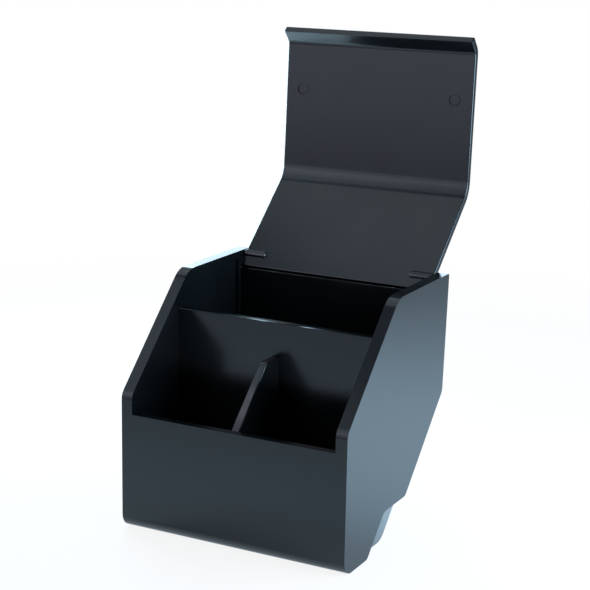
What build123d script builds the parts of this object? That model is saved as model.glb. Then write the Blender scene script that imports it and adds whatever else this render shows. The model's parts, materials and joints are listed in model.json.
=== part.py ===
from build123d import *
import os
from math import cos, radians, sin, sqrt, tan

# A desk organizer with a lift lid: a moulded shell with two cheeks, a tall partition that
# closes off the pencil well, a low divider between the two front bins, and a bent lid that
# swings up and back on two short pins. The lid runs on behind its pins as a tail, which dips
# into the well as the lid opens and comes to rest against a rib inside each cheek. All
# lengths are millimetres.
#
# Side outlines are drawn as (y, z) with y = 0 on the front face and z = 0 on the base.
# Everything is moved at the end so that the origin is the middle of the base.

# ---------------------------------------------------------------- shell, outside
BODY_WIDTH = 88.0            # across the two cheeks
BODY_HEIGHT = 88.0           # base to the level rims
FRONT_EDGE_HEIGHT = 50.0     # upright front edges of the cheeks, below the 45 degree rims
BODY_DEPTH = 82.3            # front face to the rear end of the rims
REAR_LEAN = 2.3              # how far the rear face leans out from the underside to the rims
BELLY_HEIGHT = 44.0          # where the rear face meets the 45 degree underside
FRONT_FOOT_RADIUS = 5.5      # front bottom edge
FRONT_BEND_RADIUS = 5.0      # rims and lid, where the upright front turns into the slant
TOP_BEND_RADIUS = 10.0       # rims and lid, where the slant turns level
RIM_REAR_RADIUS = 1.0
BELLY_RADIUS = 4.0
EDGE_ROUNDING = 0.5          # outer edges of the cheeks

# ---------------------------------------------------------------- shell, plug-in foot
FOOT_RADIUS = 8.0            # base to underside
NOTCH_HEIGHT = 13.0          # side notches that the holder's rails enter
NOTCH_INSET = 3.2            # how far each notch is cut in from the cheek
CHEEK_FOOT_DEPTH = 18.0      # full-width part of the base
NOTCH_ROOT_RADIUS = 5.0
NOTCH_LIP_RADIUS = 3.0
CHEEK_FOOT_RADIUS = 2.5

# ---------------------------------------------------------------- shell, inside
CHEEK_THICKNESS = 4.3
FRONT_WALL_HEIGHT = 43.0
FRONT_WALL_THICKNESS = 3.0
FLOOR_THICKNESS = 2.5
BACK_WALL_THICKNESS = 4.6    # at the belly; the rear face leans out above it
WALL_TOP_FALL = 33.0         # degrees that the back wall's top falls towards the rear
INNER_TAPER = 1.4            # how much each cheek thickens from the front wall's top to the base
WALL_TOP_ROUNDING = 0.5
STOP_RIB_DEPTH = 2.2         # front to rear, of the ribs that stop the open lid
STOP_RIB_REACH = 1.2         # in from the cheek
STOP_RIB_DROP = 0.3          # top of the ribs below the closed lid

# ---------------------------------------------------------------- partition and divider
PARTITION_DEPTH = 31.0       # front face to the partition
PARTITION_THICKNESS = 3.0
PARTITION_LID_CLEARANCE = 2.5
DIVIDER_HEIGHT = 62.5
DIVIDER_THICKNESS = 3.0
PLATE_ROUNDING = 0.9         # top edges of the partition and of the divider
JOINT_GAP = 0.05             # cement line round both plates

# ---------------------------------------------------------------- lid and hinge
LID_THICKNESS = 2.5
LID_SIDE_CLEARANCE = 0.5
LIP_CLEARANCE = 0.2          # lip above the front wall when the lid is shut
LID_EDGE_ROUNDING = 0.4
OPENING_ANGLE = 138.0
BARREL_RADIUS = 1.8
BARREL_LENGTH = 9.0          # hinge barrel at each end of the lid
LID_TAIL = 5.8               # lid behind the hinge line
TAIL_ROUNDING = 0.8
TAIL_CLEARANCE = 0.15        # swinging tail to the back wall's top
PIVOT_INSET = 3.0            # hinge line, in from the rear end of the rims
STOP_CLEARANCE = 0.1         # open lid to the stop ribs
PIN_RADIUS = 0.75
PIN_RUNNING_CLEARANCE = 0.05
PIN_GRIP = 8.0               # length pressed into the lid's barrels
PIN_REACH = 3.0              # length that runs in the cheek
PIN_END_CLEARANCE = 0.3
EJECTOR_MARK_RADIUS = 2.3    # two shallow round marks inside the lid
EJECTOR_MARK_DEPTH = 0.2
EJECTOR_MARK_INSET = 7.3     # from the lid's side edges
EJECTOR_MARK_RISE = 34.7     # along the slanted panel, from its corner with the top panel

# ---------------------------------------------------------------- worked out from the above
PAST = 5.0                   # how far cutting shapes run past what they cut
HALF_BEND = tan(radians(22.5))
HALF_WIDTH = BODY_WIDTH / 2
INNER_HALF_WIDTH = HALF_WIDTH - CHEEK_THICKNESS
LID_HALF_WIDTH = INNER_HALF_WIDTH - LID_SIDE_CLEARANCE
PIN_INNER_END = LID_HALF_WIDTH - PIN_GRIP
PIN_OUTER_END = LID_HALF_WIDTH + PIN_REACH
SLANT_RUN = BODY_HEIGHT - FRONT_EDGE_HEIGHT
BELLY_DEPTH = BODY_DEPTH - REAR_LEAN
FOOT_DEPTH = BELLY_DEPTH - BELLY_HEIGHT                      # base, front to underside
PIVOT_DEPTH = BODY_DEPTH - PIVOT_INSET
PIVOT_HEIGHT = BODY_HEIGHT - BARREL_RADIUS
BACK_WALL_INNER = BELLY_DEPTH - BACK_WALL_THICKNESS
INNER_UNDERSIDE = FOOT_DEPTH - FLOOR_THICKNESS * sqrt(2)    # y - z on the slanted floor
OPEN_LEAN = radians(180 - OPENING_ANGLE)                     # open lid's slope, from level
INNER_FACE_OFFSET = PIVOT_HEIGHT - BODY_HEIGHT + LID_THICKNESS   # hinge line to lid's inner face
TO_ORIGIN = Pos(0, -FOOT_DEPTH / 2, 0)


def side_face(points):
    """A flat outline in the YZ plane from (y, z) corners."""
    corners = [(0, y, z) for y, z in points]
    return make_face(Polyline(*corners, close=True))


def across(face, half_width):
    """The outline made solid from one side to the other."""
    return extrude(face, amount=half_width, dir=(1, 0, 0), both=True)


def round_corner(face, y, z, radius):
    """Round the one corner of a side outline that lies at (y, z)."""
    corner = face.vertices().sort_by_distance((0, y, z))[0]
    return fillet(corner, radius)


def rod(x_start, x_end, y, z, radius):
    """A round bar along X."""
    plane = Plane(origin=(x_start, y, z), x_dir=(0, 1, 0), z_dir=(1, 0, 0))
    return extrude(plane * Circle(radius), amount=x_end - x_start)


def wall_top_height(y):
    """Height of the back wall's top, which falls to the rear just clear of the lid's tail."""
    round_middle = Vector(LID_TAIL - TAIL_ROUNDING, BARREL_RADIUS - TAIL_ROUNDING)
    swept = round_middle.length + TAIL_ROUNDING + TAIL_CLEARANCE
    fall = radians(WALL_TOP_FALL)
    return PIVOT_HEIGHT - (swept + (y - PIVOT_DEPTH) * sin(fall)) / cos(fall)


def stop_face_depth(z):
    """Depth of the stop ribs' slanted face: parallel to the open lid and just in front of it."""
    off_hinge_line = INNER_FACE_OFFSET + STOP_CLEARANCE
    rise = (z - PIVOT_HEIGHT) * cos(OPEN_LEAN)
    return PIVOT_DEPTH + (rise - off_hinge_line) / sin(OPEN_LEAN)


def cheek_outline():
    """Side outline of the full-width body, with the notch behind its foot."""
    corners = [
        (0, 0, FRONT_FOOT_RADIUS),
        (0, FRONT_EDGE_HEIGHT, FRONT_BEND_RADIUS),
        (SLANT_RUN, BODY_HEIGHT, TOP_BEND_RADIUS),
        (BODY_DEPTH, BODY_HEIGHT, RIM_REAR_RADIUS),
        (BELLY_DEPTH, BELLY_HEIGHT, BELLY_RADIUS),
        (FOOT_DEPTH + NOTCH_HEIGHT, NOTCH_HEIGHT, NOTCH_LIP_RADIUS),
        (CHEEK_FOOT_DEPTH + NOTCH_HEIGHT, NOTCH_HEIGHT, NOTCH_ROOT_RADIUS),
        (CHEEK_FOOT_DEPTH, 0, CHEEK_FOOT_RADIUS),
    ]
    face = side_face([(y, z) for y, z, radius in corners])
    for y, z, radius in corners:
        face = round_corner(face, y, z, radius)
    return face


def foot_outline():
    """Side outline of the narrower foot that fills the notch between the holder's rails."""
    top = NOTCH_HEIGHT + PAST
    front = CHEEK_FOOT_DEPTH - PAST
    face = side_face([(front, 0), (FOOT_DEPTH, 0), (FOOT_DEPTH + top, top), (front, top)])
    return round_corner(face, FOOT_DEPTH, 0, FOOT_RADIUS)


def cavity_outline():
    """Side outline of all the space between the cheeks, with the room for the lid."""
    top = BODY_HEIGHT + PAST
    rear = BODY_DEPTH + PAST
    face = side_face([
        (-PAST, top),
        (-PAST, FRONT_WALL_HEIGHT),
        (FRONT_WALL_THICKNESS, FRONT_WALL_HEIGHT),
        (FRONT_WALL_THICKNESS, FLOOR_THICKNESS),
        (INNER_UNDERSIDE + FLOOR_THICKNESS, FLOOR_THICKNESS),
        (BACK_WALL_INNER, BACK_WALL_INNER - INNER_UNDERSIDE),
        (BACK_WALL_INNER, wall_top_height(BACK_WALL_INNER)),
        (rear, wall_top_height(rear)),
        (rear, top),
    ])
    inner_radius = FRONT_FOOT_RADIUS - FLOOR_THICKNESS
    return round_corner(face, FRONT_WALL_THICKNESS, FLOOR_THICKNESS, inner_radius)


def between_cheeks(outline, gap):
    """A side outline made solid from cheek to cheek, less a gap at each side."""
    bounds = outline.bounding_box()
    low = bounds.min
    high = bounds.max
    narrow = INNER_HALF_WIDTH - INNER_TAPER - gap
    wide = INNER_HALF_WIDTH - gap
    section = make_face(Polyline(
        (-narrow, low.Y, FLOOR_THICKNESS),
        (narrow, low.Y, FLOOR_THICKNESS),
        (wide, low.Y, FRONT_WALL_HEIGHT),
        (wide, low.Y, high.Z),
        (-wide, low.Y, high.Z),
        (-wide, low.Y, FRONT_WALL_HEIGHT),
        close=True,
    ))
    block = extrude(section, amount=high.Y - low.Y, dir=(0, 1, 0))
    return across(outline, HALF_WIDTH) & block


def stop_rib(side):
    """Rib inside a cheek, in front of the open lid's tail."""
    top = BODY_HEIGHT - LID_THICKNESS - STOP_RIB_DROP
    tail_end = PIVOT_HEIGHT + INNER_FACE_OFFSET * cos(OPEN_LEAN) - LID_TAIL * sin(OPEN_LEAN)
    rear = stop_face_depth(tail_end)
    front = rear - STOP_RIB_DEPTH
    in_floor = rear - INNER_UNDERSIDE - FLOOR_THICKNESS
    outline = side_face([
        (front, in_floor),
        (front, top),
        (stop_face_depth(top), top),
        (rear, tail_end),
        (rear, in_floor),
    ])
    plane_offset = side * (INNER_HALF_WIDTH - STOP_RIB_REACH)
    past_cheek_face = STOP_RIB_REACH + INNER_TAPER
    return extrude(Pos(plane_offset, 0, 0) * outline, amount=past_cheek_face, dir=(side, 0, 0))


def body_shell():
    """Cheeks, front wall, floor, 45 degree underside, back wall and stop ribs in one moulding."""
    shell = across(cheek_outline(), HALF_WIDTH)
    side_outlines = shell.faces().filter_by(Axis.X).edges()
    shell = fillet(side_outlines, EDGE_ROUNDING)
    shell += across(foot_outline(), HALF_WIDTH - NOTCH_INSET)
    shell -= between_cheeks(cavity_outline(), 0)
    long_edges = shell.edges().filter_by(Axis.X)
    wall_top = long_edges.filter_by_position(Axis.Z, FRONT_WALL_HEIGHT, FRONT_WALL_HEIGHT)
    shell = fillet(wall_top, WALL_TOP_ROUNDING)
    for side in (-1, 1):
        shell += stop_rib(side)
    bore_end = PIN_OUTER_END + PIN_END_CLEARANCE
    bore_radius = PIN_RADIUS + PIN_RUNNING_CLEARANCE
    shell -= rod(-bore_end, bore_end, PIVOT_DEPTH, PIVOT_HEIGHT, bore_radius)
    return shell


def partition_height():
    """Top of the partition: a fixed clearance below the closed lid at its front face."""
    under_slant = PARTITION_DEPTH + FRONT_EDGE_HEIGHT - LID_THICKNESS * sqrt(2)
    under_top = BODY_HEIGHT - LID_THICKNESS
    return min(under_slant, under_top) - PARTITION_LID_CLEARANCE


def cross_partition():
    """Tall plate between the cheeks, in front of the pencil well."""
    rear = PARTITION_DEPTH + PARTITION_THICKNESS
    height = partition_height()
    outline = side_face([(PARTITION_DEPTH, 0), (rear, 0), (rear, height), (PARTITION_DEPTH, height)])
    plate = between_cheeks(outline & cavity_outline(), JOINT_GAP)
    top_edges = plate.edges().filter_by(Axis.X).group_by(Axis.Z)[-1]
    return fillet(top_edges, PLATE_ROUNDING)


def front_divider():
    """Low plate between the two front bins, slanting down to the front wall's top."""
    front = FRONT_WALL_THICKNESS + JOINT_GAP
    rear = PARTITION_DEPTH - JOINT_GAP
    slant_top = front + DIVIDER_HEIGHT - FRONT_WALL_HEIGHT
    outline = side_face([
        (front, 0),
        (front, FRONT_WALL_HEIGHT),
        (slant_top, DIVIDER_HEIGHT),
        (rear, DIVIDER_HEIGHT),
        (rear, 0),
    ])
    outline = round_corner(outline, slant_top, DIVIDER_HEIGHT, DIVIDER_THICKNESS)
    plate = across(outline & cavity_outline(), DIVIDER_THICKNESS / 2)
    side_edges = plate.faces().filter_by(Axis.X).edges()
    above_wall = side_edges.filter_by_position(Axis.Z, FRONT_WALL_HEIGHT, DIVIDER_HEIGHT + PAST)
    top_edges = above_wall.filter_by_position(Axis.Y, front, rear, inclusive=(False, False))
    return fillet(top_edges, PLATE_ROUNDING)


def lid_outline():
    """Side outline of the closed lid: tail, level top, 45 degree slant and upright lip."""
    lip_end = FRONT_WALL_HEIGHT + LIP_CLEARANCE
    tail_end = PIVOT_DEPTH + LID_TAIL
    step = LID_THICKNESS * HALF_BEND
    face = side_face([
        (tail_end, BODY_HEIGHT),
        (SLANT_RUN, BODY_HEIGHT),
        (0, FRONT_EDGE_HEIGHT),
        (0, lip_end),
        (LID_THICKNESS, lip_end),
        (LID_THICKNESS, FRONT_EDGE_HEIGHT - step),
        (SLANT_RUN + step, BODY_HEIGHT - LID_THICKNESS),
        (tail_end, BODY_HEIGHT - LID_THICKNESS),
    ])
    face = round_corner(face, tail_end, BODY_HEIGHT, TAIL_ROUNDING)
    face = round_corner(face, tail_end, BODY_HEIGHT - LID_THICKNESS, TAIL_ROUNDING)
    face = round_corner(face, SLANT_RUN, BODY_HEIGHT, TOP_BEND_RADIUS)
    face = round_corner(face, 0, FRONT_EDGE_HEIGHT, FRONT_BEND_RADIUS)
    face = round_corner(
        face, SLANT_RUN + step, BODY_HEIGHT - LID_THICKNESS, TOP_BEND_RADIUS - LID_THICKNESS
    )
    face = round_corner(
        face, LID_THICKNESS, FRONT_EDGE_HEIGHT - step, FRONT_BEND_RADIUS - LID_THICKNESS
    )
    return face


def ejector_mark(side):
    """Shallow round mark in the inner face of the slanted panel."""
    along = EJECTOR_MARK_RISE * sin(radians(45))
    x = side * (LID_HALF_WIDTH - EJECTOR_MARK_INSET)
    inward = LID_THICKNESS * sin(radians(45))
    middle = (x, SLANT_RUN - along + inward, BODY_HEIGHT - along - inward)
    plane = Plane(origin=middle, x_dir=(1, 0, 0), z_dir=(0, -1, 1))
    return plane * Cylinder(EJECTOR_MARK_RADIUS, 2 * EJECTOR_MARK_DEPTH)


def hinge_barrel(side):
    """Barrel under one end of the lid, on the hinge line."""
    ends = sorted((side * (LID_HALF_WIDTH - BARREL_LENGTH), side * LID_HALF_WIDTH))
    return rod(ends[0], ends[1], PIVOT_DEPTH, PIVOT_HEIGHT, BARREL_RADIUS)


def hinge_pin(side):
    """Round pin pressed into a barrel, whose free end runs in the cheek."""
    ends = sorted((side * PIN_INNER_END, side * PIN_OUTER_END))
    return rod(ends[0], ends[1], PIVOT_DEPTH, PIVOT_HEIGHT, PIN_RADIUS)


def lid_panel():
    """The closed lid, with its hinge barrels and the bores for the two pins."""
    lid = across(lid_outline(), LID_HALF_WIDTH)
    lid = fillet(lid.faces().filter_by(Axis.X).edges(), LID_EDGE_ROUNDING)
    for side in (-1, 1):
        lid += hinge_barrel(side)
        lid -= hinge_pin(side)
        lid -= ejector_mark(side)
    return lid


def opened(piece):
    """Swing a piece of the closed lid up and back about the hinge line."""
    hinge_line = Axis((0, PIVOT_DEPTH, PIVOT_HEIGHT), (1, 0, 0))
    return piece.rotate(hinge_line, -OPENING_ANGLE)


def main():
    pieces = {
        "body_shell": body_shell(),
        "cross_partition": cross_partition(),
        "front_divider": front_divider(),
        "lid_panel": opened(lid_panel()),
        "hinge_pin_left": hinge_pin(-1),
        "hinge_pin_right": hinge_pin(1),
    }
    os.makedirs("parts", exist_ok=True)
    for name, piece in pieces.items():
        export_step(TO_ORIGIN * piece, f"parts/{name}.step")


main()
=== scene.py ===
import json
import math

import bmesh
import bpy
from bpy.props import FloatProperty, FloatVectorProperty, IntProperty, PointerProperty
from mathutils import Matrix, Quaternion, Vector

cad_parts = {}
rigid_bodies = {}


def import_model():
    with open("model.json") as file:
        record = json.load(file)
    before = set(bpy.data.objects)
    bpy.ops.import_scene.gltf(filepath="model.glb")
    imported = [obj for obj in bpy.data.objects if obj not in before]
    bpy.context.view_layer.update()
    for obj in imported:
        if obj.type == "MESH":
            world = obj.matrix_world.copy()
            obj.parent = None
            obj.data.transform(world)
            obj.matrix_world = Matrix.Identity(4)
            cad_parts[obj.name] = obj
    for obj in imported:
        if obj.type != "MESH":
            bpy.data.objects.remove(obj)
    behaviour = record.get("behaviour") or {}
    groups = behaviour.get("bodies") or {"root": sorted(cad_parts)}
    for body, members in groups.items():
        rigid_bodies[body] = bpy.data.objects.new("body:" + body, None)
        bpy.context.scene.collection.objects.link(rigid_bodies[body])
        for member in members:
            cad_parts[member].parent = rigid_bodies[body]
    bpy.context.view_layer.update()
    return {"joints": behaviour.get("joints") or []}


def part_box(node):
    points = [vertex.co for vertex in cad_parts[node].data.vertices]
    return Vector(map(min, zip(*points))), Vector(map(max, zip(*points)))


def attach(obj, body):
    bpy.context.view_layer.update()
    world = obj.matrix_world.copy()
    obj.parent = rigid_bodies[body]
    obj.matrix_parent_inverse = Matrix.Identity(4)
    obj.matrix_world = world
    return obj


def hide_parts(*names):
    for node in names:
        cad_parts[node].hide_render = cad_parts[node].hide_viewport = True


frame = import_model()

bl_info = {
    "name": "Desk organizer with lift lid",
    "version": (1, 0, 0),
    "blender": (4, 5, 0),
    "location": "View3D > Sidebar > Organizer",
    "description": "Builds a black desk organizer with a bent lift lid, and its studio",
    "category": "Add Mesh",
}

MM = 0.001
SHELL_LOW, SHELL_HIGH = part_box("body_shell")
FRONT = SHELL_LOW.y
HINGE = frame["joints"][0]
PIVOT = Vector(HINGE["pos_m"])
OPENING_ANGLE = math.radians(HINGE["range_deg"][1])
SHELL_BODY = HINGE["parent"]
LID_BODY = HINGE["child"]
ARC_STEP = math.radians(4.5)
SLANT = math.radians(45)
SHARP = math.radians(38)
FLAT = math.radians(0.1)
ALONG_X = (0, math.pi / 2, 0)
PAST = 5 * MM
SMALL = 0.01 * MM
MERGED = 0.001 * MM
NOWHERE = -1.0
ROD_SIDES = 40
SENSOR_WIDTH = 36


# ------------------------------------------------------------------------------ settings

def length(name, millimetres, description):
    """A length property whose default is given in millimetres."""
    return FloatProperty(
        name=name,
        description=description,
        default=millimetres * MM,
        precision=5,
        subtype="DISTANCE",
        unit="LENGTH",
    )


def colour(name, rgb, description):
    """A colour property with linear red, green and blue."""
    return FloatVectorProperty(
        name=name, description=description, default=rgb, size=3, min=0, max=1, subtype="COLOR"
    )


def angle(name, degrees, description):
    """An angle property whose default is given in degrees."""
    return FloatProperty(
        name=name, description=description, default=math.radians(degrees), subtype="ANGLE"
    )


def share(name, default, description):
    """A number between 0 and 1."""
    return FloatProperty(name=name, description=description, default=default, min=0, max=1)


def amount(name, default, description):
    """A plain number that can't be negative."""
    return FloatProperty(name=name, description=description, default=default, min=0)


class OrganizerShellSettings(bpy.types.PropertyGroup):
    body_depth: length("Body depth", 82.3, "Front face to the rear end of the rims")
    rear_lean: length("Rear lean", 2.3, "How far the rear face leans out above the underside")
    belly_height: length("Belly height", 44, "Where the rear face meets the slanted underside")
    front_edge: length("Front edge", 50, "Upright front edges of the cheeks")
    front_foot_radius: length("Front foot radius", 5.5, "Rounding of the front bottom edge")
    front_bend: length("Front bend", 5, "Radius where the upright front turns into the slant")
    top_bend: length("Top bend", 10, "Radius where the slant turns level")
    rim_rear_radius: length("Rim rear radius", 1, "Rounding of the rear end of the rims")
    belly_radius: length("Belly radius", 4, "Radius between rear face and underside")
    foot_radius: length("Foot radius", 8, "Radius between underside and base")
    notch_height: length("Notch height", 13, "Height of the side notches for the rails")
    notch_inset: length("Notch inset", 3.2, "Depth of each side notch")
    notch_root: length("Notch root", 5, "Radius at the inner corner of a notch")
    notch_lip: length("Notch lip", 3, "Radius at the outer corner of a notch")
    cheek_foot: length("Cheek foot", 18, "Full-width part of the base")
    cheek_foot_radius: length("Cheek foot radius", 2.5, "Radius at the rear of the cheek foot")
    cheek: length("Cheek thickness", 4.3, "Thickness of each cheek at its rim")
    front_wall: length("Front wall height", 43, "Top of the front wall")
    front_wall_thickness: length("Front wall thickness", 3, "Thickness of the front wall")
    floor: length("Floor thickness", 2.5, "Thickness of the floor and the underside")
    back_wall: length("Back wall thickness", 4.6, "Back wall at its foot")
    wall_fall: angle("Back wall fall", 33, "Fall of the back wall's top towards the rear")
    rib_depth: length("Stop rib depth", 2.2, "Stop ribs, front to rear")
    rib_reach: length("Stop rib reach", 1.2, "Stop ribs, in from the cheeks")
    rib_drop: length("Stop rib drop", 0.3, "Top of the stop ribs below the closed lid")
    stop_gap: length("Stop gap", 0.1, "Open lid to the stop ribs")
    taper: length("Inner taper", 1.4, "How much each cheek thickens towards the base")
    bevel: length("Edge bevel", 0.5, "Rounding of the moulded edges")
    wall_bevel: share("Back wall bevel", 0.2, "The same for the back wall's top, as a share")
    bore_radius: length("Bore radius", 0.8, "Bores for the hinge pins")
    bore_end: length("Bore end", 42.5, "Blind end of each bore, from the middle")


class OrganizerPlateSettings(bpy.types.PropertyGroup):
    partition_place: length("Partition place", 31, "Front face to the partition")
    thickness: length("Plate thickness", 3, "Thickness of partition and divider")
    divider_height: length("Divider height", 62.5, "Level top of the divider")
    joint: length("Joint", 0.05, "Cement line round each plate")
    rounding: length("Top rounding", 0.4, "Rounding of the top edges")


class OrganizerLidSettings(bpy.types.PropertyGroup):
    thickness: length("Lid thickness", 2.5, "Thickness of the bent sheet")
    lip_gap: length("Lip gap", 0.2, "Lip above the front wall when shut")
    edge_radius: length("Edge radius", 0.4, "Rounding of the sheet's long edges")
    barrel_radius: length("Barrel radius", 1.8, "Radius of the hinge barrels")
    barrel_length: length("Barrel length", 9, "Length of the barrel at each end")
    bend_radius: length("Bend radius", 12, "Outer radius between the top and the slanted panel")
    tail: length("Tail", 5.8, "Lid behind the hinge line")
    tail_rounding: length("Tail rounding", 0.8, "Rounding of the tail's end")
    tail_inside: share("Tail inside", 0.5, "Rounding of the tail's inner edge, as a share")
    tail_gap: length("Tail gap", 0.15, "Swinging tail to the back wall's top")
    pin_radius: length("Pin radius", 0.75, "Radius of the hinge pins")
    pin_grip: length("Pin grip", 8, "Length of each pin in the barrel")
    pin_rounding: share("Pin rounding", 0.25, "Rounding of a pin's ends as a share of its radius")
    mark_radius: length("Mark radius", 2.3, "Radius of the round marks inside the lid")
    mark_depth: length("Mark depth", 0.2, "Depth of the round marks")
    ring_width: length("Ring width", 0.3, "Fine groove round each mark")
    ring_depth: length("Ring depth", 0.5, "Depth of the groove round each mark")
    mark_inset: length("Mark inset", 7.3, "Marks from the lid's side edges")
    mark_rise: length("Mark rise", 34.7, "Marks along the slanted panel from its corner")
    bend_steps: IntProperty(
        name="Bend steps", description="Flats in each bend of the sheet", default=14, min=2
    )


class OrganizerFinishSettings(bpy.types.PropertyGroup):
    shell_colour: colour("Shell colour", (0.0042, 0.0052, 0.0056), "Pigment of the shell")
    lid_colour: colour("Lid colour", (0.0042, 0.0050, 0.0058), "Pigment of the lid")
    plate_colour: colour("Plate colour", (0.0040, 0.0050, 0.0053), "Pigment of the plates")
    steel_colour: colour("Steel colour", (0.46, 0.46, 0.48), "Ground steel of the pins")
    dust_colour: colour("Dust colour", (0.10, 0.10, 0.10), "Fine dust in the surface")
    dust_amount: share("Dust amount", 0.05, "How much of a speck is dust")
    satin: share("Satin", 0.20, "Roughness of the moulded faces")
    grain_size: length("Grain size", 0.35, "Size of the fine moulded grain")
    grain_height: length("Grain height", 0.012, "Height of the fine moulded grain")
    shell_ior: amount("Shell index", 1.52, "Refractive index of the shell")
    plate_ior: amount("Plate index", 1.57, "Refractive index of the lid and the plates")
    # Painted sheen: this coat's high index makes the notch faces brighter.
    sheen_ior: amount("Sheen index", 2.2, "Refractive index of the glossy coat that paints a sheen on the notch faces")


class OrganizerStageSettings(bpy.types.PropertyGroup):
    azimuth: angle("Azimuth", 27.517, "Camera's turn about the object")
    elevation: angle("Elevation", 13.740, "Camera's height above the horizon")
    roll: angle("Roll", 1.053, "Camera's turn about its own axis")
    eye: FloatVectorProperty(
        name="Eye", description="Camera's place", subtype="TRANSLATION", unit="LENGTH",
        default=(0.25679, -0.46544, 0.21776), precision=5,
    )
    lens: amount("Lens", 97.73, "Focal length in millimetres on a 36 mm sensor")
    floor_reach: length("Floor reach", 12000, "Half of the floor's width")
    floor_colour: colour("Floor colour", (0.86, 0.86, 0.86), "Pale floor")
    floor_roughness: share("Floor roughness", 0.9, "Roughness of the floor")
    whiteness: share("Whiteness", 0.88, "How far the floor by the object shows as plain white")
    shadow_reach: length("Shadow reach", 120, "From here outwards the floor gets whiter")
    white_reach: length("White reach", 500, "From here outwards the floor is plain white")
    glow: share("Glow", 0.15, "How far the floor shows as plain white in reflections")
    front_glow: share("Front glow", 0.45, "The same, just in front of the organizer")
    foot_reach: length("Foot reach", 8, "How far the brighter glow at the front's foot reaches")
    glow_reach: length("Glow reach", 60, "From here outwards the front glow has faded")
    cast: colour("Cast", (0.72, 0.88, 1), "Colour of the floor's glow in reflections")
    room: amount("Room light", 0.03, "Strength of the pale surroundings")
    room_colour: colour("Room colour", (0.77, 0.89, 1), "Colour of the pale surroundings")


# ------------------------------------------------------------------------------ mesh tools

def arc_corner(before, corner, after, radius):
    """Points of the arc that rounds a corner of an outline, or the corner if it is sharp."""
    if radius == 0:
        return [corner]
    towards_before = (before - corner).normalized()
    towards_after = (after - corner).normalized()
    inside_angle = towards_before.angle(towards_after)
    reach = radius / math.tan(inside_angle / 2)
    bisector = (towards_before + towards_after).normalized()
    centre = corner + bisector * (radius / math.sin(inside_angle / 2))
    first = corner + towards_before * reach - centre
    turn = math.pi - inside_angle
    steps = max(2, math.ceil(turn / ARC_STEP))
    side = -1 if towards_before.cross(towards_after) > 0 else 1
    points = []
    for index in range(steps + 1):
        turned = side * turn * index / steps
        cosine = math.cos(turned)
        sine = math.sin(turned)
        spoke = Vector((first.x * cosine - first.y * sine, first.x * sine + first.y * cosine))
        points.append(centre + spoke)
    return points


def rounded_outline(corners):
    """Side outline of (y, z, radius) corners, y from the front face, as rounded (y, z) points."""
    places = [Vector((y + FRONT, z)) for y, z, radius in corners]
    count = len(corners)
    points = []
    for index, (y, z, radius) in enumerate(corners):
        before = places[index - 1]
        after = places[(index + 1) % count]
        points += arc_corner(before, places[index], after, radius)
    return points


def prism(name, points, half_width):
    """A closed block with the side outline given, from -half_width to half_width."""
    mesh = bpy.data.meshes.new(name)
    form = bmesh.new()
    left = [form.verts.new((-half_width, y, z)) for y, z in points]
    right = [form.verts.new((half_width, y, z)) for y, z in points]
    form.faces.new(left)
    form.faces.new(right[::-1])
    for index in range(len(points)):
        form.faces.new((left[index - 1], right[index - 1], right[index], left[index]))
    bmesh.ops.recalc_face_normals(form, faces=form.faces)
    form.to_mesh(mesh)
    form.free()
    piece = bpy.data.objects.new(name, mesh)
    bpy.context.scene.collection.objects.link(piece)
    return piece


def taper_below(piece, height, foot_height, wide, narrow):
    """Narrow a block evenly from one height down to another, where it was straight."""
    form = bmesh.new()
    form.from_mesh(piece.data)
    bmesh.ops.bisect_plane(
        form, geom=form.verts[:] + form.edges[:] + form.faces[:], dist=MERGED / 10,
        plane_co=(0, 0, height), plane_no=(0, 0, 1),
    )
    for vertex in form.verts:
        drop = max(0.0, (height - vertex.co.z) / (height - foot_height))
        vertex.co.x *= 1 - drop * (wide - narrow) / wide
    form.to_mesh(piece.data)
    form.free()


def bake(piece):
    """Make a piece a plain mesh with what its modifiers give."""
    graph = bpy.context.evaluated_depsgraph_get()
    made = bpy.data.meshes.new_from_object(piece.evaluated_get(graph), depsgraph=graph)
    piece.modifiers.clear()
    piece.data = made


def combine(piece, others, operation):
    """Join others to a piece, or cut them out of it, and remove them."""
    for other in others:
        modifier = piece.modifiers.new("combine", "BOOLEAN")
        modifier.object = other
        modifier.operation = operation
        modifier.solver = "EXACT"
    bake(piece)
    for other in others:
        bpy.data.objects.remove(other)


def merge_flats(piece):
    """Merge doubled points and the flat faces that cutting has split."""
    form = bmesh.new()
    form.from_mesh(piece.data)
    bmesh.ops.remove_doubles(form, verts=form.verts, dist=MERGED)
    bmesh.ops.dissolve_limit(
        form, angle_limit=FLAT, verts=form.verts, edges=form.edges
    )
    form.to_mesh(piece.data)
    form.free()


def round_edges(piece, width):
    """Round the sharp edges of a piece."""
    modifier = piece.modifiers.new("rounding", "BEVEL")
    modifier.width = width
    modifier.segments = 3
    modifier.limit_method = "ANGLE"
    modifier.angle_limit = SHARP
    modifier.miter_outer = "MITER_ARC"
    bake(piece)


def round_by_rule(piece, widest, share_of):
    """Round each sharp edge of a piece by the share of the widest rounding that a rule gives it."""
    form = bmesh.new()
    form.from_mesh(piece.data)
    bmesh.ops.remove_doubles(form, verts=form.verts, dist=MERGED)
    weight = form.edges.layers.float.new("bevel_weight_edge")
    for edge in form.edges:
        if edge.calc_face_angle(0) > SHARP:
            edge[weight] = share_of(*(vertex.co for vertex in edge.verts))
    form.to_mesh(piece.data)
    form.free()
    modifier = piece.modifiers.new("rounding", "BEVEL")
    modifier.limit_method = "WEIGHT"
    modifier.width = widest
    modifier.segments = 4
    bake(piece)


def smooth(piece):
    """Shade a piece smoothly, with its large faces kept flat."""
    for face in piece.data.polygons:
        face.use_smooth = True
    modifier = piece.modifiers.new("normals", "WEIGHTED_NORMAL")
    modifier.mode = "FACE_AREA"
    modifier.weight = 90
    bake(piece)


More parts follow.
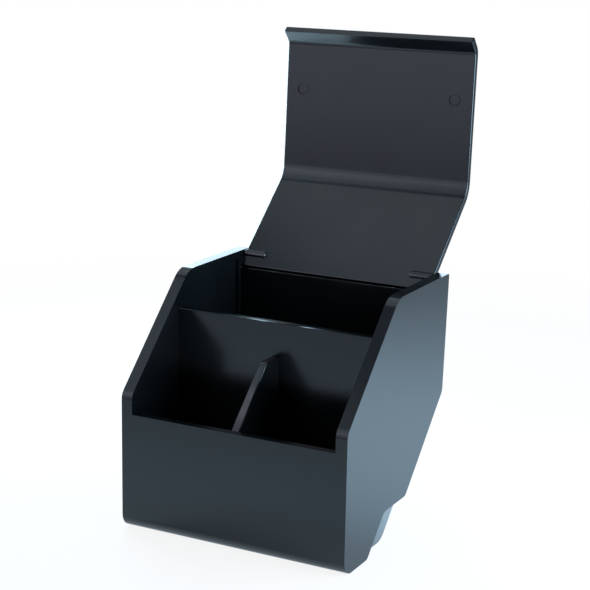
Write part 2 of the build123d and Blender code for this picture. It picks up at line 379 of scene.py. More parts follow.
def dress(piece, material, slot, body, *nodes):
    """Give a finished piece its material and its body, and hide the nodes that it stands for."""
    piece.data.materials.clear()
    piece.data.materials.append(material)
    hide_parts(*nodes)
    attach(piece, body)


# ------------------------------------------------------------------------------ shared trees

def new_input(tree, name, kind, default):
    """A named input socket of a node tree."""
    socket = tree.interface.new_socket(name, in_out="INPUT", socket_type=kind)
    socket.default_value = default
    return socket


def set_inputs(modifier, values):
    """Set named Geometry Nodes inputs by their sockets' identifiers."""
    sockets = {
        item.name: item.identifier for item in modifier.node_group.interface.items_tree
        if item.item_type == "SOCKET" and item.in_out == "INPUT"
    }
    for name, value in values.items():
        modifier[sockets[name]] = value


def feed(tree, node, values):
    """Link or set a node's inputs, each given by its name or its number."""
    for key, value in values.items():
        socket = node.inputs[key]
        if isinstance(value, bpy.types.NodeSocket):
            tree.links.new(value, socket)
        else:
            socket.default_value = value


def node_maker(tree):
    """A function that adds a node to a tree and feeds its inputs."""
    def make(kind, values=None, **settings):
        node = tree.nodes.new(kind)
        for key, value in settings.items():
            setattr(node, key, value)
        feed(tree, node, values or {})
        return node
    return make


def value_makers(make):
    """Functions that add a Math or a Map Range node and give its result."""
    def reckon(operation, *values):
        return make("ShaderNodeMath", dict(enumerate(values)), operation=operation).outputs[0]

    def ranged(value, low, high, start, end, kind="LINEAR"):
        return make("ShaderNodeMapRange", {
            "Value": value, "From Min": low, "From Max": high, "To Min": start, "To Max": end,
        }, interpolation_type=kind).outputs[0]

    return reckon, ranged


def rod_pair_tree():
    """Geometry Nodes tree: two like rods, spaced evenly about the middle along X."""
    tree = bpy.data.node_groups.new("rod pair", "GeometryNodeTree")
    tree.interface.new_socket("Geometry", in_out="OUTPUT", socket_type="NodeSocketGeometry")
    new_input(tree, "Radius", "NodeSocketFloat", 1 * MM)
    new_input(tree, "Length", "NodeSocketFloat", 10 * MM)
    new_input(tree, "Spacing", "NodeSocketFloat", 50 * MM)
    new_input(tree, "Turn", "NodeSocketVector", (0, 0, 0))
    new_input(tree, "Place", "NodeSocketVector", (0, 0, 0))
    tree.interface.new_socket("Material", in_out="INPUT", socket_type="NodeSocketMaterial")
    make = node_maker(tree)
    given = make("NodeGroupInput").outputs
    rod = make("GeometryNodeMeshCylinder", {
        "Vertices": ROD_SIDES, "Radius": given["Radius"], "Depth": given["Length"],
    })
    turned = make("GeometryNodeTransform", {
        "Geometry": rod.outputs["Mesh"], "Rotation": given["Turn"],
    })
    half = make("ShaderNodeMath", {0: given["Spacing"], 1: -0.5}, operation="MULTIPLY")
    start = make("ShaderNodeCombineXYZ", {"X": half.outputs[0]})
    step = make("ShaderNodeCombineXYZ", {"X": given["Spacing"]})
    middles = make("GeometryNodeMeshLine", {
        "Count": 2, "Start Location": start.outputs[0], "Offset": step.outputs[0],
    })
    rods = make("GeometryNodeInstanceOnPoints", {
        "Points": middles.outputs["Mesh"], "Instance": turned.outputs["Geometry"],
    })
    placed = make("GeometryNodeTransform", {
        "Geometry": rods.outputs["Instances"], "Translation": given["Place"],
    })
    real = make("GeometryNodeRealizeInstances", {"Geometry": placed.outputs["Geometry"]})
    finished = make("GeometryNodeSetMaterial", {
        "Geometry": real.outputs["Geometry"], "Material": given["Material"],
    })
    make("NodeGroupOutput", {"Geometry": finished.outputs["Geometry"]})
    return tree


def bent_sheet_tree():
    """Geometry Nodes tree: a sheet of even thickness bent along a line of edges."""
    tree = bpy.data.node_groups.new("bent sheet", "GeometryNodeTree")
    tree.interface.new_socket("Geometry", in_out="OUTPUT", socket_type="NodeSocketGeometry")
    tree.interface.new_socket("Geometry", in_out="INPUT", socket_type="NodeSocketGeometry")
    new_input(tree, "Width", "NodeSocketFloat", 80 * MM)
    new_input(tree, "Thickness", "NodeSocketFloat", 2 * MM)
    new_input(tree, "Bend Steps", "NodeSocketInt", 12)
    tree.interface.new_socket("Material", in_out="INPUT", socket_type="NodeSocketMaterial")
    make = node_maker(tree)
    given = make("NodeGroupInput").outputs
    line = make("GeometryNodeMeshToCurve", {"Mesh": given["Geometry"]})
    radius = make("GeometryNodeInputNamedAttribute", {"Name": "bend_radius"}, data_type="FLOAT")
    bent = make("GeometryNodeFilletCurve", {
        "Curve": line.outputs["Curve"], "Count": given["Bend Steps"],
        "Radius": radius.outputs["Attribute"],
    }, mode="POLY")
    section = make("GeometryNodeCurvePrimitiveQuadrilateral", {
        "Width": given["Width"], "Height": given["Thickness"],
    }, mode="RECTANGLE")
    sheet = make("GeometryNodeCurveToMesh", {
        "Curve": bent.outputs["Curve"], "Profile Curve": section.outputs["Curve"],
        "Fill Caps": True,
    })
    real = make("GeometryNodeRealizeInstances", {"Geometry": sheet.outputs["Mesh"]})
    finished = make("GeometryNodeSetMaterial", {
        "Geometry": real.outputs["Geometry"], "Material": given["Material"],
    })
    make("NodeGroupOutput", {"Geometry": finished.outputs["Geometry"]})
    return tree


def shared_tree(name, build):
    """The tree of that name, built the first time that it is asked for."""
    return bpy.data.node_groups.get(name) or build()


def rod_pair(name, radius, span, spacing, turn, place, material=None):
    """Two like rods as a plain mesh object."""
    piece = bpy.data.objects.new(name, bpy.data.meshes.new(name))
    bpy.context.scene.collection.objects.link(piece)
    modifier = piece.modifiers.new("rods", "NODES")
    modifier.node_group = shared_tree("rod pair", rod_pair_tree)
    set_inputs(modifier, {
        "Radius": radius, "Length": span, "Spacing": spacing,
        "Turn": turn, "Place": place, "Material": material,
    })
    bake(piece)
    return piece


def new_material(name):
    """A material, its node tree, a maker of nodes for the tree and its main shader."""
    material = bpy.data.materials.new(name)
    material.use_nodes = True
    tree = material.node_tree
    return material, tree, node_maker(tree), tree.nodes["Principled BSDF"]


# Sockets of a Mix node that mixes colours.
COLOUR_A = 6
COLOUR_B = 7
COLOUR_MIXED = 2
# Noise values over which dust shows, smudges change and the painted sheen on the notch faces
# varies.
SPECKS = (0.66, 0.80)
SMUDGES = (0.3, 0.7)
SHEEN_PATCHES = (0.25, 0.55)
# What the noise changes: the pigment's strength, the roughness and the painted sheen's strength.
TINTS = (0.86, 1.14)
UNEVENNESS = (-0.025, 0.025)
SHEEN_STRENGTHS = (0.5, 1.0)
# Fine marks of the steel along X, Y and Z, and the roughness that they give it.
MARKS_PER_METRE = (9000, 400, 400)
STEEL_ROUGHNESS = (0.22, 0.42)


def surface_tree():
    """Shader group: a moulded surface with grain, smudges and dust.

    Faces square to X, at the sheen plane's distance on either side of the middle, get a painted
    sheen below the sheen height, except at the front: a glossier coat that makes them brighter.
    Round the soft line, which runs along X, the surface is less glossy.
    """
    tree = bpy.data.node_groups.new("moulded surface", "ShaderNodeTree")
    for name, kind, default in (
        ("Pigment", "Color", (0.01, 0.01, 0.01, 1)),
        ("Dust", "Color", (0.1, 0.1, 0.1, 1)),
        ("Dust Amount", "Float", 0.05),
        ("Satin", "Float", 0.2),
        ("Rub Plane", "Float", 0.0),
        ("Rub Height", "Float", NOWHERE),
        ("Soft Line", "Vector", (0, 0, NOWHERE)),
        ("Soft Reach", "Float", 5.5 * MM),
        ("Softening", "Float", 0.15),
        ("Smudge Size", "Float", 20 * MM),
        ("Grain Size", "Float", 0.35 * MM),
    ):
        new_input(tree, name, f"NodeSocket{kind}", default)
    tree.interface.new_socket("Color", in_out="OUTPUT", socket_type="NodeSocketColor")
    for name in ("Roughness", "Height", "Polish"):
        tree.interface.new_socket(name, in_out="OUTPUT", socket_type="NodeSocketFloat")
    make = node_maker(tree)
    reckon, ranged = value_makers(make)
    given = make("NodeGroupInput").outputs
    place = make("ShaderNodeTexCoord").outputs["Object"]
    grain_scale = reckon("DIVIDE", 1.0, given["Grain Size"])
    grain = make("ShaderNodeTexNoise", {
        "Vector": place, "Scale": grain_scale, "Detail": 2.0, "Roughness": 0.5,
    })
    smudge = make("ShaderNodeTexNoise", {
        "Vector": place, "Scale": reckon("DIVIDE", 1.0, given["Smudge Size"]), "Detail": 4.0,
        "Roughness": 0.55, "Distortion": 0.4,
    }).outputs["Fac"]
    specks = make("ShaderNodeTexNoise", {"Vector": place, "Scale": grain_scale, "Detail": 0.0})
    dusty = ranged(specks.outputs["Fac"], *SPECKS, 0.0, given["Dust Amount"])
    tint = ranged(smudge, *SMUDGES, *TINTS)
    pigment = make("ShaderNodeVectorMath", {0: given["Pigment"], "Scale": tint}, operation="SCALE")
    dusted = make("ShaderNodeMix", {
        "Factor": dusty, COLOUR_A: pigment.outputs[0], COLOUR_B: given["Dust"],
    }, data_type="RGBA")

    # Painted sheen: faces square to X at the sheen plane, below the sheen height and behind the
    # front get a glossier coat that brightens them; the smudge noise varies its strength.
    axes = make("ShaderNodeSeparateXYZ", {"Vector": place}).outputs
    off_middle = reckon("ABSOLUTE", axes["X"])
    on_plane = reckon("COMPARE", off_middle, given["Rub Plane"], SMALL * 2)
    below = reckon("LESS_THAN", axes["Z"], given["Rub Height"])
    behind = reckon("GREATER_THAN", axes["Y"], FRONT / 2)
    sheen_faces = reckon("MULTIPLY", on_plane, reckon("MULTIPLY", below, behind))
    painted_sheen = reckon("MULTIPLY", sheen_faces, ranged(smudge, *SHEEN_PATCHES, *SHEEN_STRENGTHS))

    offset = make("ShaderNodeVectorMath", {0: place, 1: given["Soft Line"]}, operation="SUBTRACT")
    across = make("ShaderNodeVectorMath", {0: offset.outputs[0], 1: (0, 1, 1)},
                  operation="MULTIPLY")
    off_line = make("ShaderNodeVectorMath", {0: across.outputs[0]}, operation="LENGTH")
    softer = ranged(off_line.outputs["Value"], 0.0, given["Soft Reach"], given["Softening"], 0.0,
                    "SMOOTHSTEP")
    uneven = ranged(smudge, *SMUDGES, *UNEVENNESS)
    roughness = reckon("ADD", reckon("ADD", given["Satin"], softer), uneven)
    make("NodeGroupOutput", {
        "Color": dusted.outputs[COLOUR_MIXED], "Roughness": roughness,
        "Height": grain.outputs["Fac"], "Polish": painted_sheen,
    })
    return tree


def plastic(name, pigment, ior, sheen_plane=0.0, sheen_height=NOWHERE, soft_line=(0, 0, NOWHERE)):
    """Black satin plastic, if asked with a painted sheen on two planes, or softer along a line."""
    finish = bpy.context.scene.organizer_finish
    material, tree, make, shader = new_material(name)
    surface = make("ShaderNodeGroup", {
        "Pigment": (*pigment, 1), "Dust": (*finish.dust_colour, 1),
        "Dust Amount": finish.dust_amount, "Satin": finish.satin, "Soft Line": soft_line,
        "Rub Plane": sheen_plane, "Rub Height": sheen_height, "Grain Size": finish.grain_size,
    }, node_tree=shared_tree("moulded surface", surface_tree)).outputs
    bump = make("ShaderNodeBump", {
        "Height": surface["Height"], "Strength": 0.5, "Distance": finish.grain_height,
    })
    # The coat paints a sheen on the faces that the group picks out, brightening them.
    feed(tree, shader, {
        "Base Color": surface["Color"], "Roughness": surface["Roughness"], "IOR": ior,
        "Normal": bump.outputs["Normal"], "Coat Weight": surface["Polish"],
        "Coat IOR": finish.sheen_ior, "Coat Roughness": finish.satin,
    })
    return material


def ground_steel():
    """Ground steel of the hinge pins, with fine marks round the pin."""
    finish = bpy.context.scene.organizer_finish
    material, tree, make, shader = new_material("ground steel")
    reckon, ranged = value_makers(make)
    place = make("ShaderNodeTexCoord").outputs["Object"]
    stretched = make("ShaderNodeMapping", {"Vector": place, "Scale": MARKS_PER_METRE})
    marks = make("ShaderNodeTexNoise", {
        "Vector": stretched.outputs[0], "Scale": 1.0, "Detail": 3.0,
    }).outputs["Fac"]
    twice = reckon("MULTIPLY", marks, 2.0)
    tint = make("ShaderNodeVectorMath", {0: finish.steel_colour, "Scale": twice},
                operation="SCALE")
    feed(tree, shader, {
        "Base Color": tint.outputs[0], "Metallic": 1.0,
        "Roughness": ranged(marks, 0.0, 1.0, *STEEL_ROUGHNESS),
    })
    return material


# ------------------------------------------------------------------------------ pieces

def slanted_floor(shell):
    """Depth of the slanted floor's inner face where it would reach the base."""
    foot_depth = shell.body_depth - shell.rear_lean - shell.belly_height
    return foot_depth - shell.floor * math.sqrt(2)


def cheek_corners(shell):
    """Corners of the full-width body's side outline."""
    height = SHELL_HIGH.z
    belly = shell.body_depth - shell.rear_lean
    foot = belly - shell.belly_height
    return [
        (0, 0, shell.front_foot_radius),
        (0, shell.front_edge, shell.front_bend),
        (height - shell.front_edge, height, shell.top_bend),
        (shell.body_depth, height, shell.rim_rear_radius),
        (belly, shell.belly_height, shell.belly_radius),
        (foot + shell.notch_height, shell.notch_height, shell.notch_lip),
        (shell.cheek_foot + shell.notch_height, shell.notch_height, shell.notch_root),
        (shell.cheek_foot, 0, shell.cheek_foot_radius),
    ]


def foot_corners(shell):
    """Corners of the narrower foot between the notches."""
    foot = shell.body_depth - shell.rear_lean - shell.belly_height
    top = shell.notch_height + PAST
    front = shell.cheek_foot - PAST
    return [
        (front, 0, 0),
        (foot, 0, shell.foot_radius),
        (foot + top, top, 0),
        (front, top, 0),
    ]


def wall_top(shell, lid, depth):
    """Height of the back wall's top, which falls to the rear just clear of the lid's tail."""
    along = lid.tail - lid.tail_rounding
    across = lid.barrel_radius - lid.tail_rounding
    swept = math.hypot(along, across) + lid.tail_rounding + lid.tail_gap
    lean = (depth + FRONT - PIVOT.y) * math.sin(shell.wall_fall)
    return PIVOT.z - (swept + lean) / math.cos(shell.wall_fall)


def rib_corners(shell, lid):
    """Corners of a stop rib, whose slanted face lies in front of the open lid."""
    inner_face = PIVOT.z - SHELL_HIGH.z + lid.thickness
    open_lean = math.pi - OPENING_ANGLE
    top = SHELL_HIGH.z - lid.thickness - shell.rib_drop
    low = PIVOT.z + inner_face * math.cos(open_lean) - lid.tail * math.sin(open_lean)

    def face(height):
        rise = (height - PIVOT.z) * math.cos(open_lean)
        return PIVOT.y - FRONT + (rise - inner_face - shell.stop_gap) / math.sin(open_lean)

    rear = face(low)
    front = rear - shell.rib_depth
    floor = rear - slanted_floor(shell) - shell.floor
    places = ((front, floor), (front, top), (face(top), top), (rear, low), (rear, floor))
    return [(depth, height, 0) for depth, height in places]


def cavity_corners(shell, lid):
    """Corners of all the space between the cheeks."""
    top = SHELL_HIGH.z + PAST
    rear = shell.body_depth + PAST
    inner_back = shell.body_depth - shell.rear_lean - shell.back_wall
    slant = slanted_floor(shell)
    return [
        (-PAST, top, 0),
        (-PAST, shell.front_wall, 0),
        (shell.front_wall_thickness, shell.front_wall, 0),
        (shell.front_wall_thickness, shell.floor, shell.front_foot_radius - shell.floor),
        (slant + shell.floor, shell.floor, 0),
        (inner_back, inner_back - slant, 0),
        (inner_back, wall_top(shell, lid, inner_back), 0),
        (rear, wall_top(shell, lid, rear), 0),
        (rear, top, 0),
    ]


class ORGANIZER_OT_shell(bpy.types.Operator):
    """Build the moulded shell: cheeks, front wall, floor, slanted underside and back wall"""
    bl_idname = "organizer.shell"
    bl_label = "Shell"

    def execute(self, context):
        shell = context.scene.organizer_shell
        lid = context.scene.organizer_lid
        finish = context.scene.organizer_finish
        wide = SHELL_HIGH.x - shell.cheek
        piece = prism("moulded_shell", rounded_outline(cheek_corners(shell)), SHELL_HIGH.x)
        foot_half_width = SHELL_HIGH.x - shell.notch_inset
        foot = prism("foot", rounded_outline(foot_corners(shell)), foot_half_width)
        combine(piece, [foot], "UNION")
        cavity = prism("cavity", rounded_outline(cavity_corners(shell, lid)), wide)
        taper_below(cavity, shell.front_wall, shell.floor, wide, wide - shell.taper)
        combine(piece, [cavity], "DIFFERENCE")
        combine(piece, self.ribs(shell, lid, wide), "UNION")
        merge_flats(piece)
        self.round_shell(piece, shell, lid)
        bore_length = shell.bore_end - wide + PAST
        bores = rod_pair(
            "bores", shell.bore_radius, bore_length, 2 * shell.bore_end - bore_length,
            ALONG_X, (0, PIVOT.y, PIVOT.z),
        )
        combine(piece, [bores], "DIFFERENCE")
        smooth(piece)
        # The notch faces below the notch height get a painted sheen, a glossier coat that brightens
        # them.
        black = plastic("shell plastic", finish.shell_colour, finish.shell_ior,
                        sheen_plane=foot_half_width, sheen_height=shell.notch_height)
        dress(piece, black, "shell_plastic", SHELL_BODY, "body_shell")
        return {"FINISHED"}

    def round_shell(self, piece, shell, lid):
        """Round the moulded edges, the back wall's top edge only a little."""
        inner_back = shell.body_depth - shell.rear_lean - shell.back_wall
        edge = Vector((0, inner_back + FRONT, wall_top(shell, lid, inner_back)))

        def share_of(start, end):
            across = abs(start.x - end.x) > shell.rib_reach
            off = max(abs(start.y - edge.y), abs(start.z - edge.z))
            return shell.wall_bevel if across and off < SMALL else 1

        round_by_rule(piece, shell.bevel, share_of)

    def ribs(self, shell, lid, wide):
        """The two ribs inside the cheeks that stop the open lid."""
        outline = rounded_outline(rib_corners(shell, lid))
        half = (shell.rib_reach + shell.taper) / 2
        ribs = []
        for side in (-1, 1):
            rib = prism("rib", outline, half)
            rib.data.transform(Matrix.Translation((side * (wide - shell.rib_reach + half), 0, 0)))
            ribs.append(rib)
        return ribs


class ORGANIZER_OT_plates(bpy.types.Operator):
    """Build the tall partition and the low divider between the front bins"""
    bl_idname = "organizer.plates"
    bl_label = "Partition and divider"

    def execute(self, context):
        finish = context.scene.organizer_finish
        black = plastic("plate plastic", finish.plate_colour, finish.plate_ior)
        partition = self.partition(context.scene)
        divider = self.divider(context.scene)
        for piece, node in ((partition, "cross_partition"), (divider, "front_divider")):
            smooth(piece)
            dress(piece, black, "shell_plastic", SHELL_BODY, node)
        return {"FINISHED"}

    def partition(self, scene):
        """The plate across the inside, whose sides follow the cheeks' taper."""
        shell = scene.organizer_shell
        plates = scene.organizer_plates
        low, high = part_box("cross_partition")
        front = plates.partition_place
        rear = front + plates.thickness
        corners = [(front, low.z, 0), (rear, low.z, 0), (rear, high.z, 0), (front, high.z, 0)]
        wide = SHELL_HIGH.x - shell.cheek - plates.joint
        piece = prism("partition", rounded_outline(corners), wide)
        taper_below(piece, shell.front_wall, shell.floor, wide, wide - shell.taper)

        def top_along(start, end):
            return min(start.z, end.z) > high.z - SMALL and abs(start.x - end.x) > wide

        round_by_rule(piece, plates.rounding, top_along)
        return piece

    def divider(self, scene):
        """The plate between the two front bins."""
        shell = scene.organizer_shell
        plates = scene.organizer_plates
        front = shell.front_wall_thickness + plates.joint
        rear = plates.partition_place - plates.joint
        slant_top = front + plates.divider_height - shell.front_wall
        corners = [
            (front, shell.floor, shell.front_foot_radius - shell.floor),
            (front, shell.front_wall, 0),
            (slant_top, plates.divider_height, plates.thickness),
            (rear, plates.divider_height, 0),
            (rear, shell.floor, 0),
        ]
        piece = prism("divider", rounded_outline(corners), plates.thickness / 2)

        def top_along(start, end):
            above_wall = min(start.z, end.z) > shell.front_wall - SMALL
            return above_wall and start.x == end.x and abs(start.y - end.y) > SMALL

        round_by_rule(piece, plates.rounding, top_along)
        return piece


class ORGANIZER_OT_lid(bpy.types.Operator):
    """Build the bent lid, open, with its barrels, bores and round marks"""
    bl_idname = "organizer.lid"
    bl_label = "Lid"

    def execute(self, context):
        lid = context.scene.organizer_lid
        finish = context.scene.organizer_finish
        half_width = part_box("lid_panel")[1].x
        opened = Matrix.Translation(PIVOT) @ Matrix.Rotation(-OPENING_ANGLE, 4, "X")
        bend = opened @ Vector(self.bend_place(context.scene))
        black = plastic("lid plastic", finish.lid_colour, finish.plate_ior, soft_line=bend)
        piece = self.sheet(context.scene, half_width, black)
        self.round_sheet(piece, lid)
        barrels = rod_pair(
            "barrels", lid.barrel_radius, lid.barrel_length, 2 * half_width - lid.barrel_length,
            ALONG_X, (0, 0, 0),
        )
        round_edges(barrels, lid.edge_radius)
        combine(piece, [barrels], "UNION")
        pin_middle = half_width - lid.pin_grip / 2
        bores = rod_pair(
            "lid bores", lid.pin_radius, lid.pin_grip + 2 * PAST, 2 * (pin_middle + PAST),
            ALONG_X, (0, 0, 0),
        )
        spacing = 2 * (half_width - lid.mark_inset)
        turn = (SLANT, 0, 0)
        rings = rod_pair(
            "mark rings", lid.mark_radius, 2 * lid.ring_depth, spacing, turn,
            self.mark_place(context.scene, 0),
        )
        combine(piece, [bores, rings], "DIFFERENCE")
        half_plug = lid.ring_depth / 2
        plugs = rod_pair(
            "mark plugs", lid.mark_radius - lid.ring_width, 2 * half_plug, spacing, turn,
            self.mark_place(context.scene, lid.mark_depth + half_plug),
        )
        combine(piece, [plugs], "UNION")
        piece.data.transform(opened)
        smooth(piece)
        dress(piece, black, "lid_plastic", LID_BODY, "lid_panel")
        return {"FINISHED"}

    def sheet(self, scene, half_width, material):
        """The sheet of the closed lid, drawn about the pivot."""
        shell = scene.organizer_shell
        lid = scene.organizer_lid
        height = SHELL_HIGH.z
        half = lid.thickness / 2
        step = half * math.tan(SLANT / 2)
        slant_run = height - shell.front_edge
        lip_end = shell.front_wall + lid.lip_gap
        line = [
            (PIVOT.y - FRONT + lid.tail, height - half, 0),
            (slant_run + step, height - half, lid.bend_radius - half),
            (half, shell.front_edge - step, shell.front_bend - half),
            (half, lip_end, 0),
        ]
        mesh = bpy.data.meshes.new("bent_lid")
        points = [(0, y + FRONT - PIVOT.y, z - PIVOT.z) for y, z, radius in line]
        mesh.from_pydata(points, [(0, 1), (1, 2), (2, 3)], [])
        radii = mesh.attributes.new("bend_radius", "FLOAT", "POINT")
        for index, (y, z, radius) in enumerate(line):
            radii.data[index].value = radius
        piece = bpy.data.objects.new("bent_lid", mesh)
        scene.collection.objects.link(piece)
        modifier = piece.modifiers.new("sheet", "NODES")
        modifier.node_group = shared_tree("bent sheet", bent_sheet_tree)
        set_inputs(modifier, {
            "Width": 2 * half_width, "Thickness": lid.thickness,
            "Bend Steps": lid.bend_steps, "Material": material,
        })
        bake(piece)
        return piece

    def round_sheet(self, piece, lid):
        """Round the sheet's edges, those across the tail's end more than the rest."""
        def share_of(start, end):
            at_tail = min(start.y, end.y) > lid.tail - SMALL
            across_tail = at_tail and abs(start.x - end.x) > lid.thickness
            if not across_tail:
                return lid.edge_radius / lid.tail_rounding
            return 1 if start.z > 0 else lid.tail_inside

        round_by_rule(piece, lid.tail_rounding, share_of)

    def bend_place(self, scene):
        """Middle of the bend between the top and the slanted panel, about the pivot."""
        shell = scene.organizer_shell
        half = scene.organizer_lid.thickness / 2
        depth = SHELL_HIGH.z - shell.front_edge + half * math.tan(SLANT / 2)
        return (0, depth + FRONT - PIVOT.y, SHELL_HIGH.z - half - PIVOT.z)

    def mark_place(self, scene, below):
        """Middle between the two round marks, at a depth below the slanted panel's inner face."""
        shell = scene.organizer_shell
        lid = scene.organizer_lid
        along = lid.mark_rise * math.sin(SLANT)
        inward = (lid.thickness - below) * math.sin(SLANT)
        slant_run = SHELL_HIGH.z - shell.front_edge
        depth = slant_run - along + inward
        height = SHELL_HIGH.z - along - inward
        return (0, depth + FRONT - PIVOT.y, height - PIVOT.z)


class ORGANIZER_OT_pins(bpy.types.Operator):
    """Build the two hinge pins"""
    bl_idname = "organizer.pins"
    bl_label = "Hinge pins"

    def execute(self, context):
        lid = context.scene.organizer_lid
        steel = ground_steel()
        low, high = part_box("hinge_pin_right")
        pins = rod_pair(
            "hinge_pins", lid.pin_radius, high.x - low.x, high.x + low.x,
            ALONG_X, (0, PIVOT.y, PIVOT.z), steel,
        )
        round_edges(pins, lid.pin_radius * lid.pin_rounding)
        smooth(pins)
        dress(pins, steel, "pin_steel", LID_BODY, "hinge_pin_left", "hinge_pin_right")
        return {"FINISHED"}


# ------------------------------------------------------------------------------ stage

MIDDLE = (0, 0.03, 0.05)
# Each lamp's name, place, target, width, height, power in watts and colour. The right and left
# lamps are close to the floor beside the organizer, and the rest are further off.
LAMPS = (
    ("right lamp", (0.27, 0.07, 0.155), (0.1, 0.07, 0), 0.24, 0.17, 2.0, (0.54, 0.78, 1)),
    ("left lamp", (-0.21, 0.13, 0.13), (-0.12, 0.09, 0), 0.16, 0.12, 1.2, (0.55, 0.84, 1)),
    ("front lamp", (-0.55, -0.99, 0.36), MIDDLE, 0.8, 0.6, 1.7, (0.77, 0.8, 1)),
    ("high front lamp", (-0.6, -0.57, 0.9), MIDDLE, 0.6, 0.6, 1.2, (0.7, 0.85, 1)),
    ("middle front lamp", (-0.566, -0.842, 0.65), MIDDLE, 0.5, 0.5, 0.7, (0.8, 0.82, 1)),
    ("left upper lamp", (-0.539, -0.233, 1.089), MIDDLE, 0.3, 0.3, 0.09, (0.55, 0.7, 1)),
    ("overhead lamp", (-0.42, 0.34, 1.15), MIDDLE, 0.9, 0.9, 2.3, (0.76, 0.89, 1)),
    ("rear strip", (-0.61, 1.23, 0.44), MIDDLE, 1.0, 0.4, 5.5, (0.62, 0.8, 1)),
)


def softbox(name, place, target, width, height, power, tint):
    """A flat studio lamp that points at a target."""
    lamp = bpy.data.lights.new(name, "AREA")
    lamp.shape = "RECTANGLE"
    lamp.size = width
    lamp.size_y = height
    lamp.energy = power
    lamp.color = tint
    holder = bpy.data.objects.new(name, lamp)
    bpy.context.scene.collection.objects.link(holder)
    holder.location = place
    away = Vector(target) - Vector(place)
    holder.rotation_euler = away.to_track_quat("-Z", "Y").to_euler()
    holder.visible_camera = False


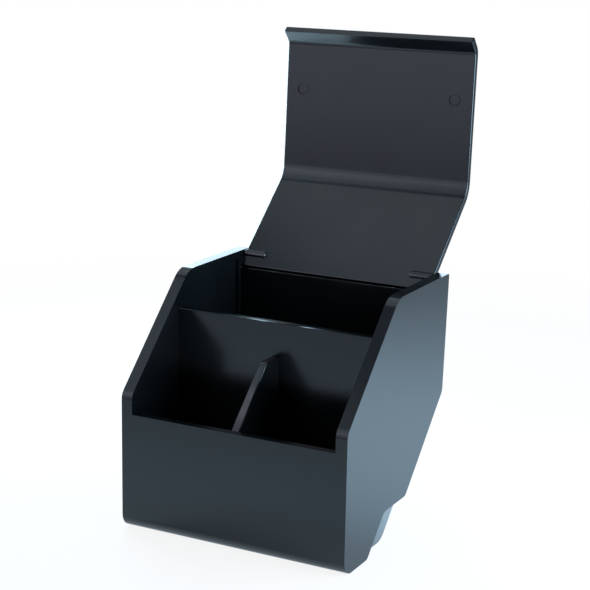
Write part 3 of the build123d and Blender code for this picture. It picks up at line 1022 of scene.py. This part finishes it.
class ORGANIZER_OT_stage(bpy.types.Operator):
    """Lay the pale floor and set the lamps, the surroundings and the camera"""
    bl_idname = "organizer.stage"
    bl_label = "Stage"

    def execute(self, context):
        scene = context.scene
        stage = scene.organizer_stage
        self.floor(scene, stage)
        self.surroundings(scene, stage)
        for lamp in LAMPS:
            softbox(*lamp)
        self.camera(scene, stage)
        scene.view_settings.view_transform = "Standard"
        return {"FINISHED"}

    def floor(self, scene, stage):
        """A wide pale floor, white to the camera but for soft shadows, glowing in reflections."""
        mesh = bpy.data.meshes.new("studio_floor")
        reach = stage.floor_reach
        corners = [(-reach, -reach, 0), (reach, -reach, 0), (reach, reach, 0), (-reach, reach, 0)]
        mesh.from_pydata(corners, [], [(0, 1, 2, 3)])
        floor = bpy.data.objects.new("studio_floor", mesh)
        scene.collection.objects.link(floor)
        material, tree, make, shader = new_material("pale floor")
        reckon, ranged = value_makers(make)
        feed(tree, shader, {
            "Base Color": (*stage.floor_colour, 1), "Roughness": stage.floor_roughness,
            "Specular IOR Level": 0.0,
        })
        path = make("ShaderNodeLightPath").outputs
        cast = make("ShaderNodeMix", {
            "Factor": path["Is Camera Ray"], COLOUR_A: (*stage.cast, 1), COLOUR_B: (1, 1, 1, 1),
        }, data_type="RGBA")
        white = make("ShaderNodeEmission", {
            "Color": cast.outputs[COLOUR_MIXED], "Strength": 1.0,
        })
        place = make("ShaderNodeTexCoord").outputs["Object"]
        away = make("ShaderNodeVectorMath", {0: place}, operation="LENGTH")
        whitened = ranged(away.outputs["Value"], stage.shadow_reach, stage.white_reach,
                          stage.whiteness, 1.0, "SMOOTHSTEP")
        depth = make("ShaderNodeSeparateXYZ", {"Vector": place}).outputs["Y"]
        gap = reckon("ABSOLUTE", reckon("SUBTRACT", depth, FRONT))
        at_foot = ranged(gap, 0.0, stage.foot_reach, 1.0, 0.0, "SMOOTHSTEP")
        around = ranged(gap, stage.foot_reach, stage.glow_reach, stage.front_glow, stage.glow,
                        "SMOOTHSTEP")
        glow = reckon("MAXIMUM", at_foot, around)
        seen = reckon("MULTIPLY", path["Is Camera Ray"], whitened)
        shown = reckon("MULTIPLY_ADD", path["Is Glossy Ray"], glow, seen)
        mixed = make("ShaderNodeMixShader", {
            0: shown, 1: shader.outputs["BSDF"], 2: white.outputs["Emission"],
        })
        feed(tree, tree.nodes["Material Output"], {"Surface": mixed.outputs[0]})
        mesh.materials.append(material)

    def surroundings(self, scene, stage):
        """Even pale surroundings, which the camera sees as white."""
        world = bpy.data.worlds.new("studio")
        scene.world = world
        world.use_nodes = True
        tree = world.node_tree
        make = node_maker(tree)
        room = tree.nodes["Background"]
        feed(tree, room, {"Color": (*stage.room_colour, 1), "Strength": stage.room})
        white = make("ShaderNodeBackground", {"Color": (1, 1, 1, 1), "Strength": 1.0})
        path = make("ShaderNodeLightPath")
        mixed = make("ShaderNodeMixShader", {
            0: path.outputs["Is Camera Ray"], 1: room.outputs[0], 2: white.outputs[0],
        })
        feed(tree, tree.nodes["World Output"], {"Surface": mixed.outputs[0]})

    def camera(self, scene, stage):
        """The camera, turned a little about its own axis."""
        data = bpy.data.cameras.new("camera")
        data.sensor_width = SENSOR_WIDTH
        data.lens = stage.lens
        data.clip_start = 0.01
        data.clip_end = 50
        camera = bpy.data.objects.new("camera", data)
        scene.collection.objects.link(camera)
        level = math.cos(stage.elevation)
        back = Vector((
            math.sin(stage.azimuth) * level,
            -math.cos(stage.azimuth) * level,
            math.sin(stage.elevation),
        ))
        camera.location = stage.eye
        camera.rotation_mode = "QUATERNION"
        aim = (-back).to_track_quat("-Z", "Y")
        camera.rotation_quaternion = aim @ Quaternion((0, 0, 1), stage.roll)
        scene.camera = camera


# ------------------------------------------------------------------------------ add-on

STEPS = ("shell", "plates", "lid", "pins", "stage")


class ORGANIZER_PT_panel(bpy.types.Panel):
    """Sidebar panel with the organizer's pieces and sizes"""
    bl_idname = "ORGANIZER_PT_panel"
    bl_label = "Desk organizer"
    bl_space_type = "VIEW_3D"
    bl_region_type = "UI"
    bl_category = "Organizer"

    def draw(self, context):
        for step in STEPS:
            self.layout.operator(f"organizer.{step}")
        for name, group in SETTINGS.items():
            box = self.layout.box()
            settings = getattr(context.scene, name)
            for prop in group.__annotations__:
                box.prop(settings, prop)


SETTINGS = {
    "organizer_shell": OrganizerShellSettings,
    "organizer_plates": OrganizerPlateSettings,
    "organizer_lid": OrganizerLidSettings,
    "organizer_finish": OrganizerFinishSettings,
    "organizer_stage": OrganizerStageSettings,
}
CLASSES = (
    *SETTINGS.values(),
    ORGANIZER_OT_shell,
    ORGANIZER_OT_plates,
    ORGANIZER_OT_lid,
    ORGANIZER_OT_pins,
    ORGANIZER_OT_stage,
    ORGANIZER_PT_panel,
)


def register():
    for item in CLASSES:
        bpy.utils.register_class(item)
    for name, group in SETTINGS.items():
        setattr(bpy.types.Scene, name, PointerProperty(type=group))


def unregister():
    for name in SETTINGS:
        delattr(bpy.types.Scene, name)
    for item in reversed(CLASSES):
        bpy.utils.unregister_class(item)


def main():
    register()
    for step in STEPS:
        getattr(bpy.ops.organizer, step)()


if __name__ == "__main__":
    main()
